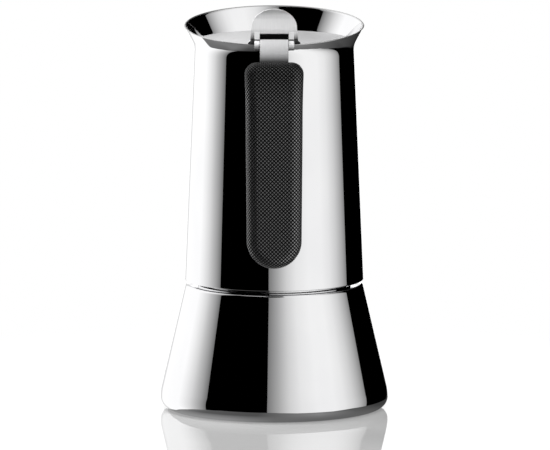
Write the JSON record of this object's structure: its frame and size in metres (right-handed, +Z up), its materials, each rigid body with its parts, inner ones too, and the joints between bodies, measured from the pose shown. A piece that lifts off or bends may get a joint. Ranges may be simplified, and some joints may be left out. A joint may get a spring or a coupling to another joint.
{
  "type": "moka pot",
  "caption": "Stove-top coffee maker with a conical steel boiler, a screwed-on collecting vessel with a slanted rim, a hinged lid with a thumb lever and a long plastic grip.",
  "frame": {"origin": "centre of the boiler's flat bottom, where it rests on the stove", "axes": "+Z up along the pot's axis, -Y towards the grip and the lid's hinge, +Y towards the pouring side and the safety valve"},
  "size_m": [0.105, 0.1329, 0.1901],
  "materials": {
    "polished_steel": "mirror-polished stainless steel",
    "satin_steel": "satin stainless steel",
    "plain_steel": "pressed and turned stainless steel",
    "valve_brass": "turned brass",
    "spring_steel": "drawn wire and turned pin",
    "seal_rubber": "pale silicone rubber",
    "black_plastic": "moulded, with a diamond cross-hatch"
  },
  "bodies": {
    "boiler": {"boiler_shell": "polished_steel", "boiler_neck": "plain_steel", "valve_body": "valve_brass", "valve_washer": "seal_rubber", "valve_nut": "valve_brass", "valve_cap": "valve_brass", "funnel": "plain_steel", "funnel_sieve": "plain_steel"},
    "valve": {"valve_plunger": "spring_steel", "valve_spring": "spring_steel"},
    "seal": {"gasket": "seal_rubber", "filter_plate": "plain_steel"},
    "upper": {"upper_shell": "polished_steel", "threaded_collar": "polished_steel", "chamber_floor": "plain_steel", "column": "plain_steel", "column_cap": "plain_steel", "handle_strap": "satin_steel", "hinge_pin": "satin_steel", "grip": "black_plastic", "grip_screw": "satin_steel"},
    "lid": {"lid": "satin_steel", "lid_lever": "satin_steel"}
  },
  "joints": [
    {"name": "upper_rise", "type": "slide", "parent": "boiler", "child": "seal", "axis": [0, 0, 1], "range_m": [0, 0.007]},
    {"name": "upper_unscrew", "type": "hinge", "parent": "seal", "child": "upper", "pos_m": [0, 0, 0.065], "axis": [0, 0, 1], "range_deg": [0, 720]},
    {"name": "lid_hinge", "type": "hinge", "parent": "upper", "child": "lid", "pos_m": [0, -0.04319, 0.17361], "axis": [1, 0, 0], "range_deg": [0, 95]},
    {"name": "valve_lift", "type": "slide", "parent": "boiler", "child": "valve", "axis": [0, 0.9742, 0.2256], "range_m": [0, 0.0012], "stiffness_N_per_m": 100, "springref_m": -0.0005}
  ],
  "couplings": [
    {"joint": "upper_rise", "follows": "upper_unscrew", "m_per_rad": 0.00055704}
  ]
}
